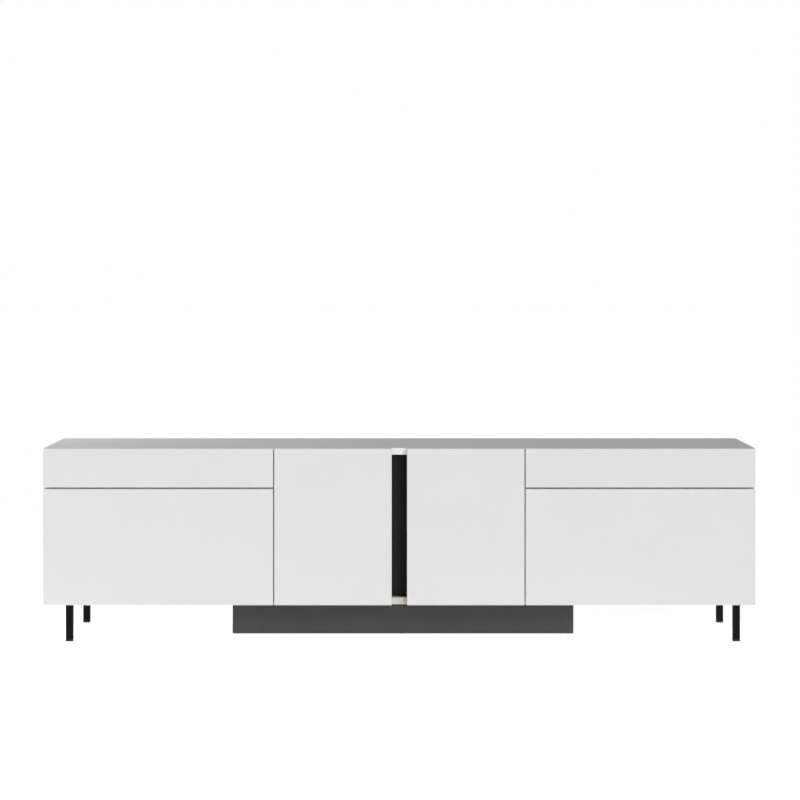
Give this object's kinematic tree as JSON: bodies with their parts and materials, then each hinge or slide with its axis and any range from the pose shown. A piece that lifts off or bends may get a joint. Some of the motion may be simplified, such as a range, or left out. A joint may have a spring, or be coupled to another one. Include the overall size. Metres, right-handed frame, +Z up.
{
  "type": "media cabinet",
  "caption": "Low wide white media cabinet on a dark plinth and thin black legs, with drawers above drop-down flaps at the ends and doors with a dark grip channel in the middle.",
  "frame": {"origin": "on the floor, under the middle of the cabinet", "axes": "+X along the width to the viewer's right, +Y from the fronts to the back, +Z up"},
  "size_m": [2, 0.4, 0.545],
  "materials": {
    "white_lacquer": "matt white lacquer on board",
    "white_board": "white melamine on board",
    "top_lacquer": "satin white lacquer on board",
    "back_board": "white faced hardboard",
    "plinth_grey": "matt dark grey lacquer on board",
    "black_steel": "black powder coat",
    "black_aluminium": "black anodised",
    "nickel_steel": "nickel plated",
    "zinc_steel": "zinc plated",
    "black_plastic": "moulded",
    "white_plastic": "moulded",
    "clear_bumper": "soft"
  },
  "bodies": {
    "carcass": {"back_board_centre": "back_board", "back_board_left": "back_board", "back_board_right": "back_board", "back_screws": "zinc_steel", "bottom_panel": "white_board", "bumpers": "clear_bumper", "cable_grommets": "black_plastic", "cam_locks": "zinc_steel", "centre_shelf": "white_board", "centre_stile": "white_board", "divider_left": "white_board", "divider_right": "white_board", "door_hinge_arms": "nickel_steel", "drawer_shelf_left": "white_board", "drawer_shelf_right": "white_board", "flap_hinge_arms": "nickel_steel", "grip_channel": "black_aluminium", "latch_housings": "white_plastic", "leg_glides": "black_plastic", "leg_screws": "black_steel", "legs_back": "black_steel", "legs_front": "black_steel", "plinth_back": "plinth_grey", "plinth_brackets": "zinc_steel", "plinth_ends": "plinth_grey", "plinth_front": "plinth_grey", "plinth_glides": "black_plastic", "runner_cabinet_members": "zinc_steel", "shelf_pins": "nickel_steel", "side_panel_left": "white_lacquer", "side_panel_right": "white_lacquer", "stay_brackets": "nickel_steel", "top_panel": "top_lacquer"},
    "door_left": {"door_left_panel": "white_lacquer", "door_left_hinge_cups": "nickel_steel"},
    "door_left_links": {"door_left_hinge_links": "nickel_steel"},
    "flap_left": {"flap_left_panel": "white_lacquer", "flap_left_fittings": "nickel_steel"},
    "flap_left_links": {"flap_left_hinge_links": "nickel_steel"},
    "stay_left_upper": {"stay_left_upper_arm": "nickel_steel"},
    "stay_left_lower": {"stay_left_lower_arm": "nickel_steel"},
    "drawer_left": {"drawer_left_front": "white_lacquer", "drawer_left_box": "white_board", "runner_left_drawer_members": "zinc_steel"},
    "runner_left": {"runner_left_middle_members": "zinc_steel"},
    "plunger_left": {"latch_left_plunger": "white_plastic"},
    "door_right": {"door_right_panel": "white_lacquer", "door_right_hinge_cups": "nickel_steel"},
    "door_right_links": {"door_right_hinge_links": "nickel_steel"},
    "flap_right": {"flap_right_panel": "white_lacquer", "flap_right_fittings": "nickel_steel"},
    "flap_right_links": {"flap_right_hinge_links": "nickel_steel"},
    "stay_right_upper": {"stay_right_upper_arm": "nickel_steel"},
    "stay_right_lower": {"stay_right_lower_arm": "nickel_steel"},
    "drawer_right": {"drawer_right_front": "white_lacquer", "drawer_right_box": "white_board", "runner_right_drawer_members": "zinc_steel"},
    "runner_right": {"runner_right_middle_members": "zinc_steel"},
    "plunger_right": {"latch_right_plunger": "white_plastic"}
  },
  "joints": [
    {"name": "door_left_link_turn", "type": "hinge", "parent": "carcass", "child": "door_left_links", "pos_m": [-0.318, -0.1735, 0.325], "axis": [0, 0, -1], "range_deg": [-36.01, 0]},
    {"name": "door_left_open", "type": "hinge", "parent": "door_left_links", "child": "door_left", "pos_m": [-0.339, -0.1875, 0.325], "axis": [0, 0, -1], "range_deg": [0, 126]},
    {"name": "flap_left_link_turn", "type": "hinge", "parent": "carcass", "child": "flap_left_links", "pos_m": [-0.67725, -0.1735, 0.1385], "axis": [1, 0, 0], "range_deg": [-36.01, 0]},
    {"name": "flap_left_open", "type": "hinge", "parent": "flap_left_links", "child": "flap_left", "pos_m": [-0.67725, -0.1875, 0.1175], "axis": [1, 0, 0], "range_deg": [0, 126]},
    {"name": "stay_left_upper_turn", "type": "hinge", "parent": "carcass", "child": "stay_left_upper", "pos_m": [-0.977, -0.0813, 0.3476], "axis": [1, 0, 0], "range_deg": [-22.71, 0]},
    {"name": "stay_left_lower_turn", "type": "hinge", "parent": "flap_left", "child": "stay_left_lower", "pos_m": [-0.974, -0.169, 0.2947], "axis": [1, 0, 0], "range_deg": [0, 12.31]},
    {"name": "latch_left_push", "type": "slide", "parent": "carcass", "child": "plunger_left", "axis": [0, -1, 0], "range_m": [0, 0.01401]},
    {"name": "drawer_left_slide", "type": "slide", "parent": "carcass", "child": "drawer_left", "axis": [0, -1, 0], "range_m": [0, 0.33]},
    {"name": "runner_left_slide", "type": "slide", "parent": "carcass", "child": "runner_left", "axis": [0, -1, 0], "range_m": [0, 0.16501]},
    {"name": "door_right_link_turn", "type": "hinge", "parent": "carcass", "child": "door_right_links", "pos_m": [0.318, -0.1735, 0.325], "axis": [0, 0, 1], "range_deg": [-36.01, 0]},
    {"name": "door_right_open", "type": "hinge", "parent": "door_right_links", "child": "door_right", "pos_m": [0.339, -0.1875, 0.325], "axis": [0, 0, 1], "range_deg": [0, 126]},
    {"name": "flap_right_link_turn", "type": "hinge", "parent": "carcass", "child": "flap_right_links", "pos_m": [0.67725, -0.1735, 0.1385], "axis": [1, 0, 0], "range_deg": [-36.01, 0]},
    {"name": "flap_right_open", "type": "hinge", "parent": "flap_right_links", "child": "flap_right", "pos_m": [0.67725, -0.1875, 0.1175], "axis": [1, 0, 0], "range_deg": [0, 126]},
    {"name": "stay_right_upper_turn", "type": "hinge", "parent": "carcass", "child": "stay_right_upper", "pos_m": [0.977, -0.0813, 0.3476], "axis": [1, 0, 0], "range_deg": [-22.71, 0]},
    {"name": "stay_right_lower_turn", "type": "hinge", "parent": "flap_right", "child": "stay_right_lower", "pos_m": [0.974, -0.169, 0.2947], "axis": [1, 0, 0], "range_deg": [0, 12.31]},
    {"name": "latch_right_push", "type": "slide", "parent": "carcass", "child": "plunger_right", "axis": [0, -1, 0], "range_m": [0, 0.01401]},
    {"name": "drawer_right_slide", "type": "slide", "parent": "carcass", "child": "drawer_right", "axis": [0, -1, 0], "range_m": [0, 0.33]},
    {"name": "runner_right_slide", "type": "slide", "parent": "carcass", "child": "runner_right", "axis": [0, -1, 0], "range_m": [0, 0.16501]}
  ],
  "couplings": [
    {"joint": "door_left_link_turn", "follows": "door_left_open", "ratio": -0.28571},
    {"joint": "flap_left_link_turn", "follows": "flap_left_open", "ratio": -0.28571},
    {"joint": "stay_left_upper_turn", "follows": "flap_left_open", "ratio": -0.18016},
    {"joint": "stay_left_lower_turn", "follows": "flap_left_open", "ratio": 0.097619},
    {"joint": "latch_left_push", "follows": "flap_left_open", "m_per_rad": 0.0063662},
    {"joint": "runner_left_slide", "follows": "drawer_left_slide", "ratio": 0.5},
    {"joint": "door_right_link_turn", "follows": "door_right_open", "ratio": -0.28571},
    {"joint": "flap_right_link_turn", "follows": "flap_right_open", "ratio": -0.28571},
    {"joint": "stay_right_upper_turn", "follows": "flap_right_open", "ratio": -0.18016},
    {"joint": "stay_right_lower_turn", "follows": "flap_right_open", "ratio": 0.097619},
    {"joint": "latch_right_push", "follows": "flap_right_open", "m_per_rad": 0.0063662},
    {"joint": "runner_right_slide", "follows": "drawer_right_slide", "ratio": 0.5}
  ]
}
